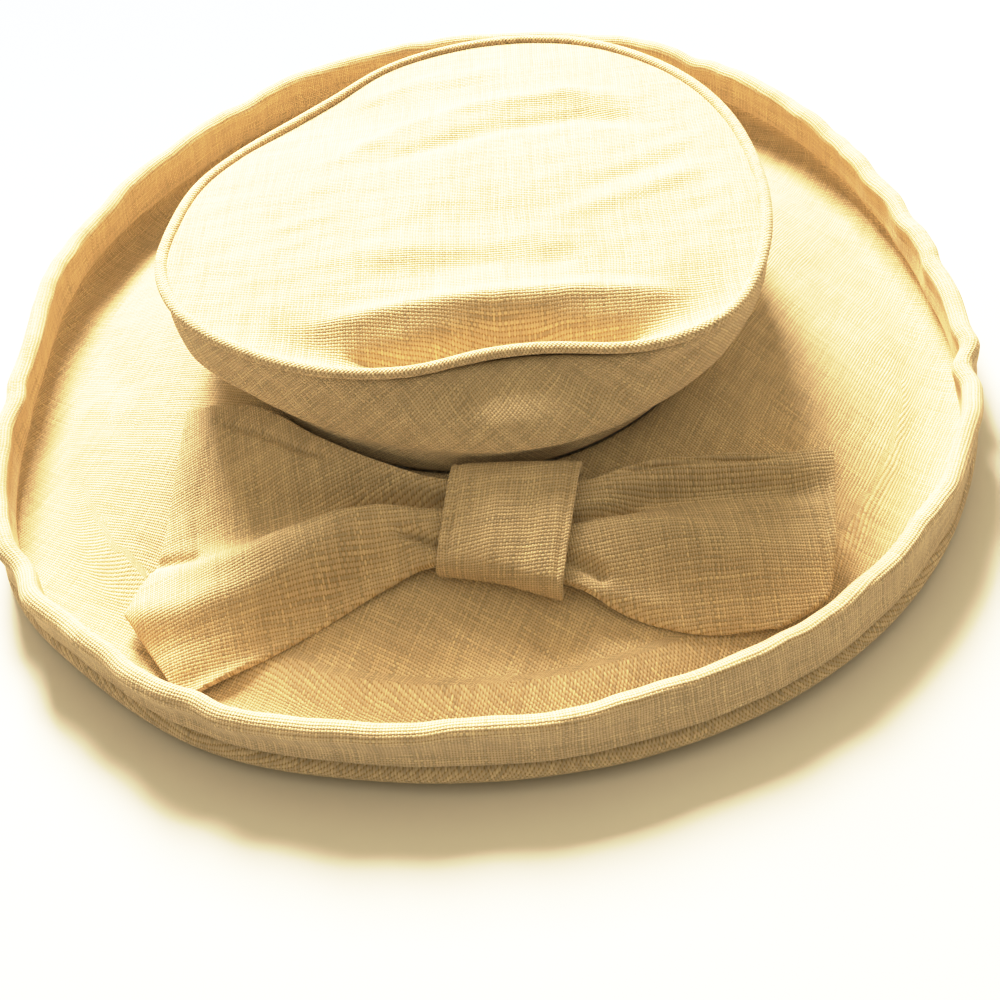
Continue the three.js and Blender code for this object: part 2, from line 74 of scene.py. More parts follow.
# Folds pressed into the cloth, as paths in millimetres from the middle of the head seam. Width
# is how far a fold reaches to each side of its path; a valley has a negative rise.
FOLDS = {
    "brim": [
        {"path": [(137, 84), (148, 76), (154, 69)], "width": 4.0, "rise": -1.2},
        {"path": [(149, 92), (151, 75), (153, 50)], "width": 3.0, "rise": -0.8},
        {"path": [(122, 70), (140, 52), (152, 36)], "width": 6.0, "rise": 0.9},
        {"path": [(118, 20), (139, 8), (158, -10)], "width": 5.0, "rise": -0.7},
        {"path": [(-150, 40), (-140, 10), (-122, -20)], "width": 7.0, "rise": -0.8},
        {"path": [(-49, -133), (-18, -136), (11, -141)], "width": 9.0, "rise": 0.7},
    ],
    "crown_tip": [
        {"path": [(-52, 22), (-21, 42), (5, 50), (38, 53), (68, 42)], "width": 4.5, "rise": 1.9},
        {"path": [(-34, 20), (-14, 28), (14, 36), (43, 38), (72, 26)], "width": 4.0, "rise": -2.0},
        {"path": [(-30, 36), (-6, 46), (20, 50)], "width": 3.0, "rise": -1.1},
        {"path": [(-41, 66), (-13, 74), (24, 76)], "width": 5.0, "rise": 0.8},
        {"path": [(-55, -30), (-16, -29), (16, -30), (45, -31)], "width": 6.0, "rise": 1.2},
        {"path": [(-40, -40), (0, -40), (40, -41)], "width": 5.0, "rise": -0.8},
        {"path": [(26, -20), (53, -13), (80, -2)], "width": 4.0, "rise": 0.8},
        {"path": [(34, -8), (60, 0), (82, 10)], "width": 4.0, "rise": -0.8},
        {"path": [(-62, -60), (-36, -59), (-9, -55), (25, -56), (49, -59), (70, -66)],
         "width": 4.0, "rise": 2.3},
        {"path": [(-40, -75), (-10, -69), (6, -66), (38, -71), (62, -75)],
         "width": 5.0, "rise": -2.8},
    ],
    "bow": [
        {"path": [(-8, -105), (-22, -102.5), (-30, -101), (-38, -100), (-49, -98)],
         "width": 1.8, "rise": -4.6},
        {"path": [(-34, -101), (-49, -98), (-61, -94), (-71, -89), (-82, -80)],
         "width": 4.5, "rise": -2.2},
        {"path": [(-24, -107), (-35, -106), (-51, -108.5), (-61, -110), (-80, -109), (-98, -105)],
         "width": 4.5, "rise": 1.6},
        {"path": [(-8, -118), (-20, -115), (-27, -112.5), (-33, -111)], "width": 1.3, "rise": -3.4},
        {"path": [(-24, -118), (-31, -117), (-44, -120), (-58, -123), (-78, -126)],
         "width": 4.0, "rise": -1.5},
        {"path": [(-116, -95), (-104, -98), (-93, -99.5)], "width": 2.2, "rise": -1.8},
        {"path": [(-88, -53), (-91, -64), (-95, -80), (-98, -97)], "width": 1.0, "rise": -0.6},
        {"path": [(-92, -54), (-73, -68), (-60, -79), (-46, -88)], "width": 0.9, "rise": -2.0},
        {"path": [(12, -113), (25, -111.5), (37, -110), (46, -107)], "width": 1.6, "rise": -4.2},
        {"path": [(30, -110), (46, -106.5), (56, -104), (68, -103), (88, -103), (106, -103)],
         "width": 3.8, "rise": -3.2},
        {"path": [(24, -106), (44, -103), (56, -100.5), (75, -98.5), (98, -98)],
         "width": 2.6, "rise": 1.2},
        {"path": [(34, -101.5), (43, -99.6), (58, -97.6), (74, -96.4), (92, -95.2)],
         "width": 0.8, "rise": -2.2},
        {"path": [(10, -120), (20, -123.5), (26, -126), (32, -130)], "width": 1.8, "rise": -3.2},
        {"path": [(16, -129), (27, -132), (39, -134.5), (52, -137)], "width": 2.6, "rise": 1.0},
        {"path": [(104, -94), (100, -112), (96, -132)], "width": 0.9, "rise": -0.6},
        {"path": [(-30, -108), (-60, -116), (-80, -118), (-100, -118), (-136, -110)],
         "width": 5.5, "rise": 2.7},
        {"path": [(-42, -121), (-60, -127), (-78, -132), (-96, -137), (-114, -142)],
         "width": 4.0, "rise": -1.6},
        {"path": [(-136, -90), (-124, -116), (-113, -134), (-98, -158)],
         "width": 7.0, "rise": -5.0},
        {"path": [(44, -118), (62, -122), (84, -120)], "width": 7.0, "rise": 0.9},
    ],
    "bow_knot": [
        {"path": [(-9.6, -94), (-13.5, -110), (-18.5, -126)], "width": 0.9, "rise": -0.9},
        {"path": [(24.4, -95), (19.5, -114), (13.2, -136)], "width": 0.9, "rise": -0.9},
        {"path": [(2, -98), (-1, -112), (-6, -128)], "width": 3.0, "rise": 0.5},
        {"path": [(12, -98), (9, -114), (4, -132)], "width": 3.0, "rise": -0.5},
    ],
    # Round the crown these paths run in degrees and in millimetres of height.
    "crown_side": [
        {"path": [(255, 70), (262, 68.5), (270, 67.5), (278, 68.5), (285, 70.5)],
         "width": 3.5, "rise": -1.5},
        {"path": [(250, 64), (260, 62), (272, 61), (282, 62)], "width": 4.0, "rise": 1.0},
        {"path": [(284, 69), (290, 64), (296, 62)], "width": 3.5, "rise": -2.2},
        {"path": [(296, 63), (303, 67), (310, 71)], "width": 3.0, "rise": -1.2},
        {"path": [(215, 66), (228, 66), (243, 67)], "width": 3.0, "rise": -0.9},
    ],
}
CROWN_RADIUS = 95.0
# The tip is stretched a little, so that its seam closes up against the welt.
TIP_STRETCH = 0.003
# The folded strip of the welt is fuller than its solid.
WELT_SWELL = 0.5 * MM
# Share of the brim's faces that is kept, which leaves fewer than 200,000 triangles.
BRIM_SHARE = 0.86
# Beyond this radius and height the brim is the wall of the turned-up edge.
TURN_UP = {"radius": 0.15, "height": 4 * MM}
# Radii and heights over which the cloth of a piece comes free of its seam or resting ring.
BRIM_SOFT = {"radii": (0.088, 0.105), "heights": (2.2 * MM, 6 * MM)}
SIDE_SOFT = {"from": (46 * MM, 56 * MM), "until": (67 * MM, 73 * MM)}
TIP_SOFT = {"radii": (0.078, 0.096), "held": 0.85}

# How the outer face of the edge swells and sinks with height, in millimetres, and how much
# thicker the fold of the binding is on top.
EDGE_ROLL = {
    "brim": [
        {"height": 11.4, "half": 1.6, "out": -1.9},
        {"height": 6.0, "half": 2.8, "out": 1.6},
    ],
    "binding": [{"height": 13.2, "half": 2.4, "out": 0.9}],
    "fat": 0.8,
    "fat_heights": (18, 25),
    "facing": (0.1, 0.8),
    "radii": (0.14, 0.15),
}
# Heights and radii over which the waves of the edge grow to their full size.
EDGE_WAVE = {"heights": (5 * MM, 22 * MM), "radii": (0.14, 0.16), "ring_radius": 0.18}

# Nips in the turned-up edge: how far each draws the edge in and down, in millimetres.
EDGE_NIPS = [
    {"degrees": 214, "half": 2.8, "inward": 2.7, "down": 1.7},
    {"degrees": 218.5, "half": 2, "inward": -0.8, "down": -0.5},
    {"degrees": 223, "half": 1.8, "inward": 0.6, "down": 0.5},
    {"degrees": 230, "half": 2.2, "inward": 1, "down": 0.7},
    {"degrees": 240, "half": 2.2, "inward": 1.8, "down": 1.4},
    {"degrees": 246, "half": 2, "inward": 0.7, "down": 0.6},
    {"degrees": 341, "half": 2.1, "inward": 2.7, "down": 1.5},
    {"degrees": 344.5, "half": 1.6, "inward": -0.7, "down": -0.5},
    {"degrees": 359, "half": 2.5, "inward": 1, "down": 0.6},
    {"degrees": 10, "half": 2.4, "inward": 0.8, "down": 0.5},
    {"degrees": 19, "half": 2.0, "inward": 0.5, "down": 0.3},
    {"degrees": 25, "half": 2.0, "inward": 0.6, "down": 0.3},
    {"degrees": 29.5, "half": 1.9, "inward": 0.5, "down": 0.3},
    {"degrees": 36, "half": 2.2, "inward": 0.7, "down": 0.5},
    {"degrees": 55, "half": 2, "inward": 1.1, "down": 0.8},
    {"degrees": 188, "half": 2.5, "inward": 1, "down": 0.7},
    {"degrees": 150, "half": 2.5, "inward": 0.8, "down": 0.7},
]

# Soft lumps of each piece: their size and height in millimetres, and a seed for each layer.
LUMPS = {
    "edge_up": [
        {"size": 22, "rise": 1.4, "seed": 1},
        {"size": 10, "rise": 0.5, "seed": 2},
    ],
    "edge_out": [
        {"size": 26, "rise": 1.6, "seed": 3},
        {"size": 10, "rise": 0.5, "seed": 4},
    ],
    "brim": [
        {"size": 55, "rise": 0.9, "seed": 5},
        {"size": 20, "rise": 0.4, "seed": 6},
    ],
    "crown_side": [
        {"size": 32, "rise": 1.4, "seed": 7},
        {"size": 14, "rise": 0.5, "seed": 8},
    ],
    "crown_tip": [
        {"size": 34, "rise": 0.8, "seed": 9},
        {"size": 7, "rise": 0.45, "seed": 10, "turn": 22, "stretch": 4.0},
    ],
    "bow": [
        {"size": 22, "rise": 0.7, "seed": 11},
        {"size": 9, "rise": 0.25, "seed": 12},
    ],
    "bow_knot": [{"size": 12, "rise": 0.3, "seed": 13}],
}


def linear(hex_colour):
    """sRGB hex colour to the linear values that a shader takes."""
    values = [int(hex_colour[i:i + 2], 16) / 255 for i in (1, 3, 5)]
    values = [v / 12.92 if v <= 0.04045 else ((v + 0.055) / 1.055) ** 2.4 for v in values]
    return (*values, 1.0)


def smooth(low, high, value):
    t = np.clip((value - low) / (high - low), 0, 1)
    return t * t * (3 - 2 * t)


class HatSettings(bpy.types.PropertyGroup):
    thread_pitch: bpy.props.FloatProperty(
        name="Thread pitch", description="Distance from one thread to the next",
        default=0.86 * MM, min=0.3 * MM, subtype="DISTANCE", unit="LENGTH")
    thread_relief: bpy.props.FloatProperty(
        name="Thread relief", description="How far the threads stand out of the cloth",
        default=0.28 * MM, min=0.0, subtype="DISTANCE", unit="LENGTH")
    crumple: bpy.props.FloatProperty(
        name="Crumple", description="How strongly the soft creases show",
        default=1.0, min=0.0, max=2.0, subtype="FACTOR")
    linen_colour: bpy.props.FloatVectorProperty(
        name="Linen", description="Colour of the natural linen thread",
        default=linear("#D8C6A6")[:3], size=3, subtype="COLOR")
    # Painted shade: the darker colour that the gaps between the threads take, where shade falls into the
    # weave.
    gap_shade_colour: bpy.props.FloatVectorProperty(
        name="Gaps", description="Colour in the gaps between the threads",
        default=linear("#A88A55")[:3], size=3, subtype="COLOR")
    slub_colour: bpy.props.FloatVectorProperty(
        name="Slubs", description="Colour of the thick pale places in the thread",
        default=linear("#E8D8B4")[:3], size=3, subtype="COLOR")
    glow_colour: bpy.props.FloatVectorProperty(
        name="Glow", description="Colour of the light that comes through the cloth",
        default=linear("#D9A865")[:3], size=3, subtype="COLOR")
    key_power: bpy.props.FloatProperty(
        name="Window light", description="Power of the soft light behind the hat",
        default=100.0, min=0.0, subtype="POWER", unit="POWER")
    sky: bpy.props.FloatProperty(
        name="Room light", description="Strength of the pale light from all round",
        default=0.60, min=0.0)


def settings():
    return bpy.context.scene.linen_hat


def add_node(tree, kind, inputs=None, **values):
    """Adds one node, sets its properties and fills or links its inputs."""
    node = tree.nodes.new(kind)
    for key, value in values.items():
        setattr(node, key, value)
    for key, value in (inputs or {}).items():
        if isinstance(value, bpy.types.NodeSocket):
            tree.links.new(value, node.inputs[key])
        else:
            node.inputs[key].default_value = value
    return node


def cad_cells(node):
    """Points and faces of a CAD node, its corners merged and its diagonals taken out."""
    bm = bmesh.new()
    bm.from_mesh(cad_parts[node].data)
    bmesh.ops.remove_doubles(bm, verts=bm.verts, dist=MERGE_DISTANCE)
    diagonals = []
    for edge in bm.edges:
        if len(edge.link_faces) != 2 or any(len(v.link_edges) > FAN_EDGES for v in edge.verts):
            continue
        length = edge.calc_length() * LENGTH_SLACK
        others = [e for face in edge.link_faces for e in face.edges if e is not edge]
        if all(e.calc_length() <= length for e in others):
            diagonals.append(edge)
    bmesh.ops.dissolve_edges(bm, edges=diagonals, use_verts=False, use_face_split=False)
    bm.verts.index_update()
    points = np.array([v.co for v in bm.verts])
    faces = [[v.index for v in face.verts] for face in bm.faces]
    bm.free()
    return points, faces


def ring_lengths(points, faces):
    """For each point of a ring: its azimuth step, its way along the section and round it."""
    flat = points[:, :2] - CENTRE
    angle = np.arctan2(flat[:, 1], flat[:, 0])
    step = np.round(angle / (2 * math.pi / RING_STEPS)).astype(int) % RING_STEPS
    near = {}
    for face in faces:
        for a, b in zip(face, face[1:] + face[:1]):
            if step[a] == step[b]:
                near.setdefault(a, set()).add(b)
                near.setdefault(b, set()).add(a)
    radius = np.hypot(flat[:, 0], flat[:, 1])
    along = np.zeros(len(points))
    round_it = np.zeros(RING_STEPS)
    for i in range(RING_STEPS):
        members = np.flatnonzero(step == i)
        first = members[np.argmin(radius[members] * 0.2 + points[members, 2])]
        low_next = sorted(near[first], key=lambda j: -radius[j])
        previous, here, way = first, low_next[0], 0.0
        while True:
            way += float(np.linalg.norm(points[here] - points[previous]))
            if here == first:
                break
            along[here] = way
            following = [j for j in near[here] if j != previous]
            previous, here = here, following[0]
        round_it[i] = way
    return step, along, round_it


def new_piece(name, points, faces, corners, levels, rim):
    """Makes a smooth piece from coarse faces and one cloth coordinate for each corner.

    rim is how far the corners of the coarse body stay sharp, from 0 to 1.
    """
    mesh = bpy.data.meshes.new(name)
    mesh.from_pydata([tuple(p) for p in points], [], faces)
    layer = mesh.uv_layers.new(name="cloth")
    layer.data.foreach_set("uv", np.array(corners, float).ravel())
    if rim:
        keep_rim(mesh, rim)
    piece = bpy.data.objects.new(name, mesh)
    bpy.context.scene.collection.objects.link(piece)
    bpy.ops.object.select_all(action="DESELECT")
    bpy.context.view_layer.objects.active = piece
    piece.select_set(True)
    rounding = piece.modifiers.new("Rounding", "SUBSURF")
    rounding.levels = rounding.render_levels = levels
    bpy.ops.object.modifier_apply(modifier=rounding.name)
    piece.data.shade_smooth()
    return piece


def keep_rim(mesh, rim):
    """Creases the sharp edges of a coarse body; its upright corners stay fully sharp."""
    bm = bmesh.new()
    bm.from_mesh(mesh)
    crease = bm.edges.layers.float.new("crease_edge")
    for edge in bm.edges:
        if edge.calc_face_angle(0) > SHARP_ANGLE:
            run = edge.verts[0].co - edge.verts[1].co
            edge[crease] = 1.0 if abs(run.z) > UPRIGHT * run.length else rim
    bm.to_mesh(mesh)
    bm.free()


def ring_piece(node, name, levels, cloth_radius):
    """Fine copy of a ring node; its cloth runs round it and along its section."""
    points, faces = cad_cells(node)
    step, along, round_it = ring_lengths(points, faces)
    corners = []
    for face in faces:
        wraps = max(step[face]) - min(step[face]) > RING_STEPS / 2
        high = max(along[face])
        for j in face:
            turn = step[j] + (RING_STEPS if wraps and step[j] < RING_STEPS / 2 else 0)
            way = along[j]
            if way == 0 and high > round_it[step[j]] / 2:
                way = round_it[step[j]]
            corners.append((turn * 2 * math.pi / RING_STEPS * cloth_radius, way))
    return new_piece(name, points, faces, corners, levels, 0)


def flat_piece(node, name, levels, rim):
    """Fine copy of a node whose cloth lies in plan, as it was cut."""
    points, faces = cad_cells(node)
    corners = [tuple(points[j, :2]) for face in faces for j in face]
    return new_piece(name, points, faces, corners, levels, rim)


def points_of(piece):
    co = np.empty(len(piece.data.vertices) * 3)
    piece.data.vertices.foreach_get("co", co)
    return co.reshape(-1, 3)


def place_points(piece, points):
    piece.data.vertices.foreach_set("co", points.ravel())
    piece.data.update()


def noise_at(points, size, seed, turn, stretch):
    """Smooth noise of about -1 to 1 at each point, with lumps of a size in metres.

    The lumps can be stretched along a direction in plan, given in degrees.
    """
    shift = Vector((seed * 3.7, seed * 1.3, seed * 5.1))
    c, s = math.cos(math.radians(turn)), math.sin(math.radians(turn))
    along = (points[:, 0] * c + points[:, 1] * s) / stretch
    aside = points[:, 1] * c - points[:, 0] * s
    places = np.column_stack([along, aside, points[:, 2]]) / size
    return np.array([noise.noise(Vector(p) + shift) for p in places])


def lumps(points, name):
    """Rise of all the layers of lumps of a piece at each point."""
    rise = np.zeros(len(points))
    for row in LUMPS[name]:
        layer = noise_at(points, row["size"] * MM, row["seed"], row.get("turn", 0.0),
                         row.get("stretch", 1.0))
        rise += layer * row["rise"] * MM
    return rise


def plan_of(points):
    """Places in plan from the middle of the head seam, and their distances from it."""
    flat = points[:, :2] - CENTRE
    return flat, np.hypot(flat[:, 0], flat[:, 1])


def fold_rise(places, rows):
    """Height that the folds add at each place; places and folds are in millimetres."""
    rise = np.zeros(len(places))
    for row in rows:
        path = np.array(row["path"], float)
        steps = path[1:] - path[:-1]
        lengths = np.hypot(steps[:, 0], steps[:, 1])
        before = np.concatenate([[0.0], np.cumsum(lengths)])
        nearest = np.full(len(places), np.inf)
        way = np.zeros(len(places))
        for start, step, length, done in zip(path, steps, lengths, before):
            share = np.clip((places - start) @ step / length ** 2, 0, 1)
            gap = np.linalg.norm(places - start - share[:, None] * step, axis=1)
            closer = gap < nearest
            nearest[closer] = gap[closer]
            way[closer] = (done + share * length)[closer]
        way /= before[-1]
        fade = smooth(0, FOLD_FADE, way) * smooth(0, FOLD_FADE, 1 - way)
        rise += row["rise"] * fade * np.exp(-(nearest / row["width"]) ** 2)
    return rise * MM


def edge_roll(piece, folds_over):
    """Rounds the turned-up edge: a fat fold on top, and a groove under the binding."""
    co = points_of(piece)
    flat, radius = plan_of(co)
    outward = flat / radius[:, None]
    normals = np.empty(len(co) * 3)
    piece.data.vertex_normals.foreach_get("vector", normals)
    normals = normals.reshape(-1, 3)
    facing = smooth(*EDGE_ROLL["facing"], (normals[:, :2] * outward).sum(1))
    facing *= smooth(*EDGE_ROLL["radii"], radius)
    height = co[:, 2] / MM
    out = np.zeros(len(co))
    for row in EDGE_ROLL["binding" if folds_over else "brim"]:
        out += row["out"] * np.exp(-((height - row["height"]) / row["half"]) ** 2)
    co[:, :2] += outward * (out * facing * MM)[:, None]
    if folds_over:
        fat = EDGE_ROLL["fat"] * smooth(*EDGE_ROLL["fat_heights"], height) * MM
        co += normals * fat[:, None]
    place_points(piece, co)


def thin(piece, share):
    """Takes points out where the cloth is flattest, down to a share of the faces."""
    thinning = piece.modifiers.new("Thinning", "DECIMATE")
    thinning.ratio = share
    bpy.ops.object.modifier_apply(modifier=thinning.name)


def swell(piece, thickness):
    """Moves each point of a piece outward along its normal."""
    normals = np.empty(len(piece.data.vertices) * 3)
    piece.data.vertex_normals.foreach_get("vector", normals)
    place_points(piece, points_of(piece) + normals.reshape(-1, 3) * thickness)


def edge_wave(points):
    """Uneven waves and nips of the turned-up edge, the same for the brim and its binding."""
    flat, radius = plan_of(points)
    outward = flat / radius[:, None]
    degrees = np.degrees(np.arctan2(flat[:, 1], flat[:, 0])) % 360
    ring = np.column_stack([outward * EDGE_WAVE["ring_radius"], np.zeros(len(points))])
    share = smooth(*EDGE_WAVE["heights"], points[:, 2]) * smooth(*EDGE_WAVE["radii"], radius)
    up = lumps(ring, "edge_up")
    out = lumps(ring, "edge_out")
    for nip in EDGE_NIPS:
        gap = (degrees - nip["degrees"] + 180) % 360 - 180
        pull = np.exp(-(gap / nip["half"]) ** 2) * MM
        out -= pull * nip["inward"]
        up -= pull * nip["down"]
    moved = points.copy()
    moved[:, 2] += share * up
    moved[:, :2] += outward * (share * out)[:, None]
    return moved


# The weave, counted in threads: how slowly and how far the threads wander, how long a tone lasts
# along one thread, how dark the darkest thread is, and how far thick places stand out.
WEAVE = {"wander_scale": 0.035, "wander": 2.4, "tone_scale": 0.045, "darkest": 0.74, "slub": 1.6}
# Shifts that keep one thread, or one piece of cloth, from looking like the next.
THREAD_SHIFT = 7.31
CLOTH_SHIFT = (7.31, 3.17, 1.9)


def linen(name, turn, seed):
    """Plain-woven natural linen: matte, uneven threads with pale slubs, and painted shade in the gaps
    between them.

    turn is the angle of the threads on the piece in degrees, and seed tells the cloths apart.
    """
    chosen = settings()
    material = bpy.data.materials.new(name)
    material.use_nodes = True
    tree = material.node_tree
    tree.nodes.clear()
    pitch = chosen.thread_pitch
    cloth = add_node(tree, "ShaderNodeUVMap", uv_map="cloth")
    threads = add_node(tree, "ShaderNodeMapping", {
        "Vector": cloth.outputs["UV"], "Rotation": (0, 0, math.radians(turn)),
        "Location": (seed * CLOTH_SHIFT[0], seed * CLOTH_SHIFT[1], 0), "Scale": (1 / pitch, 1 / pitch, 1)})
    drift = add_node(tree, "ShaderNodeTexNoise", {
        "Vector": threads.outputs["Vector"], "Scale": WEAVE["wander_scale"], "Detail": 2.0})
    drift_centred = add_node(tree, "ShaderNodeVectorMath", {
        0: drift.outputs["Color"], 1: (0.5, 0.5, 0.5)}, operation="SUBTRACT")
    drift_sized = add_node(tree, "ShaderNodeVectorMath", {
        0: drift_centred.outputs["Vector"], "Scale": WEAVE["wander"]}, operation="SCALE")
    woven = add_node(tree, "ShaderNodeVectorMath", {
        0: threads.outputs["Vector"], 1: drift_sized.outputs["Vector"]}, operation="ADD")
    axes = add_node(tree, "ShaderNodeSeparateXYZ", {0: woven.outputs["Vector"]})

    def math_node(operation, *values):
        return add_node(tree, "ShaderNodeMath", dict(enumerate(values)),
                        operation=operation).outputs[0]

    across = axes.outputs["X"], axes.outputs["Y"]
    waves = [math_node("SINE", math_node("MULTIPLY", way, math.pi)) for way in across]
    crossing = math_node("MULTIPLY", waves[0], waves[1])
    warp = math_node("ADD", math_node("ABSOLUTE", waves[0]), crossing)
    weft = math_node("SUBTRACT", math_node("ABSOLUTE", waves[1]), crossing)
    relief = math_node("MAXIMUM", warp, weft)
    warp_over = math_node("GREATER_THAN", warp, weft)
    tones = []
    for own, other in (across, across[::-1]):
        place = add_node(tree, "ShaderNodeCombineXYZ", {
            "X": math_node("MULTIPLY", math_node("FLOOR", own), THREAD_SHIFT),
            "Y": math_node("MULTIPLY", other, WEAVE["tone_scale"]),
            "Z": seed * CLOTH_SHIFT[2] + len(tones)})
        tones.append(add_node(tree, "ShaderNodeTexNoise", {
            "Vector": place.outputs["Vector"], "Scale": 1.0, "Detail": 2.0}).outputs["Fac"])
    tone = add_node(tree, "ShaderNodeMix", {
        "Factor": warp_over, "A": tones[1], "B": tones[0]}, data_type="FLOAT")
    thread_colour = add_node(tree, "ShaderNodeValToRGB", {"Fac": tone.outputs["Result"]})
    ramp = thread_colour.color_ramp
    ramp.elements[0].position = 0.30
    ramp.elements[0].color = (*[c * WEAVE["darkest"] for c in chosen.linen_colour], 1)
    ramp.elements[1].position = 0.72
    ramp.elements[1].color = (*chosen.slub_colour, 1)
    middle = ramp.elements.new(0.52)
    middle.color = (*chosen.linen_colour, 1)
    # Painted shade: where the thread relief is low, in the gaps between the threads, the colour turns to
    # the darker gap colour.
    gap_shade_share = add_node(tree, "ShaderNodeMapRange", {
        "Value": relief, "From Min": 0.15, "From Max": 1.05})
    colour = add_node(tree, "ShaderNodeMix", {
        "Factor": gap_shade_share.outputs["Result"], "A": (*chosen.gap_shade_colour, 1),
        "B": thread_colour.outputs["Color"]}, data_type="RGBA")
    raised = math_node("MULTIPLY_ADD", tone.outputs["Result"], WEAVE["slub"], relief)
    bump = add_node(tree, "ShaderNodeBump", {
        "Height": raised, "Strength": 0.6, "Distance": chosen.thread_relief})
    surface = add_node(tree, "ShaderNodeBsdfPrincipled", {
        "Base Color": colour.outputs["Result"], "Normal": bump.outputs["Normal"],
        "Roughness": 0.94, "IOR": 1.53, "Sheen Weight": 0.12, "Sheen Roughness": 0.5,
        "Specular IOR Level": 0.2})
    glow = add_node(tree, "ShaderNodeBsdfTranslucent", {
        "Color": (*chosen.glow_colour, 1), "Normal": bump.outputs["Normal"]})
    cloth_mix = add_node(tree, "ShaderNodeMixShader", {
        "Fac": 0.04, 1: surface.outputs["BSDF"], 2: glow.outputs["BSDF"]})
    add_node(tree, "ShaderNodeOutputMaterial", {"Surface": cloth_mix.outputs["Shader"]})
    return material


def finish_piece(piece, node, material):
    piece.data.materials.clear()
    piece.data.materials.append(material)
    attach(piece, "root")
    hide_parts(node)


class HAT_OT_brim(bpy.types.Operator):
    """Makes the brim: bias-cut cloth that slopes down to its resting ring and turns up"""
    bl_idname = "hat.brim"
    bl_label = "Brim"

    def execute(self, context):
        piece = ring_piece("brim", "brim_cloth", 3, 0.12)
        co = points_of(piece)
        flat, radius = plan_of(co)
        corner_vertex = np.empty(len(piece.data.loops), int)
        piece.data.loops.foreach_get("vertex_index", corner_vertex)
        upright = np.maximum(co[:, 2] - TURN_UP["height"], 0)
        unrolled = radius + np.where(radius > TURN_UP["radius"], upright, 0)
        plan = flat / radius[:, None] * unrolled[:, None]
        piece.data.uv_layers["cloth"].data.foreach_set("uv", plan[corner_vertex].ravel())
        edge_roll(piece, False)
        co = edge_wave(points_of(piece))
        lift = lumps(co, "brim") + fold_rise(flat / MM, FOLDS["brim"])
        share = smooth(*BRIM_SOFT["radii"], radius) * smooth(*BRIM_SOFT["heights"], co[:, 2])
        co[:, 2] += lift * share * settings().crumple
        place_points(piece, co)
        thin(piece, BRIM_SHARE)
        finish_piece(piece, "brim", linen("linen_brim_bias", 32, 1))
        return {"FINISHED"}


class HAT_OT_binding(bpy.types.Operator):
    """Makes the binding: a strip of cloth folded over the edge of the brim"""
    bl_idname = "hat.binding"
    bl_label = "Brim binding"

    def execute(self, context):
        piece = ring_piece("brim_binding", "brim_binding_cloth", 3, 0.18)
        edge_roll(piece, True)
        place_points(piece, edge_wave(points_of(piece)))
        finish_piece(piece, "brim_binding", linen("linen_binding_strip", 0, 2))
        return {"FINISHED"}


class HAT_OT_crown_side(bpy.types.Operator):
    """Makes the crown side: the soft bias-cut wall that bulges over the head seam"""
    bl_idname = "hat.crown_side"
    bl_label = "Crown side"

    def execute(self, context):
        piece = ring_piece("crown_side", "crown_side_cloth", 3, 0.095)
        co = points_of(piece)
        flat, radius = plan_of(co)
        share = smooth(*SIDE_SOFT["from"], co[:, 2]) * (1 - smooth(*SIDE_SOFT["until"], co[:, 2]))
        out = lumps(co, "crown_side")
        degrees = np.degrees(np.arctan2(flat[:, 1], flat[:, 0])) % 360
        turn = math.radians(CROWN_RADIUS)
        folds = [dict(row, path=[(a * turn, h) for a, h in row["path"]])
                 for row in FOLDS["crown_side"]]
        out += fold_rise(np.column_stack([degrees * turn, co[:, 2] / MM]), folds)
        co[:, :2] += flat / radius[:, None] * (out * share * settings().crumple)[:, None]
        place_points(piece, co)
        finish_piece(piece, "crown_side", linen("linen_crown_bias", 48, 3))
        return {"FINISHED"}


class HAT_OT_crown_tip(bpy.types.Operator):
    """Makes the crown tip: the creased top with a hollow behind its front seam"""
    bl_idname = "hat.crown_tip"
    bl_label = "Crown tip"

    def execute(self, context):
        piece = flat_piece("crown_tip", "crown_tip_cloth", 3, 1.0)
        co = points_of(piece)
        flat, radius = plan_of(co)
        lift = lumps(co, "crown_tip") + fold_rise(flat / MM, FOLDS["crown_tip"])
        rim = smooth(*TIP_SOFT["radii"], radius) * TIP_SOFT["held"]
        co[:, 2] += lift * (1 - rim) * settings().crumple
        co[:, :2] += flat * TIP_STRETCH
        place_points(piece, co)
        finish_piece(piece, "crown_tip", linen("linen_tip", 4, 4))
        return {"FINISHED"}


class HAT_OT_tip_welt(bpy.types.Operator):
    """Makes the welt: the narrow folded strip on the seam round the crown tip"""
    bl_idname = "hat.tip_welt"
    bl_label = "Tip welt"

    def execute(self, context):
        piece = ring_piece("tip_welt", "tip_welt_cloth", 3, 0.095)
        swell(piece, WELT_SWELL)
        finish_piece(piece, "tip_welt", linen("linen_welt", 45, 5))
        return {"FINISHED"}


class HAT_OT_bow(bpy.types.Operator):
    """Makes the bow: the doubled strip, pleated where the knot pinches it"""
    bl_idname = "hat.bow"
    bl_label = "Bow"

    def execute(self, context):
        piece = flat_piece("bow", "bow_cloth", 4, 0.5)
        co = points_of(piece)
        flat, _ = plan_of(co)
        lift = lumps(co, "bow") + fold_rise(flat / MM, FOLDS["bow"])
        co[:, 2] += lift * settings().crumple
        place_points(piece, co)
        finish_piece(piece, "bow", linen("linen_bow_doubled", -4, 6))
        return {"FINISHED"}


# The knot's upper face lies this far above its middle plane, and its cloth runs a little askew.
KNOT_TOP = 3 * MM
KNOT_SKEW = 0.3


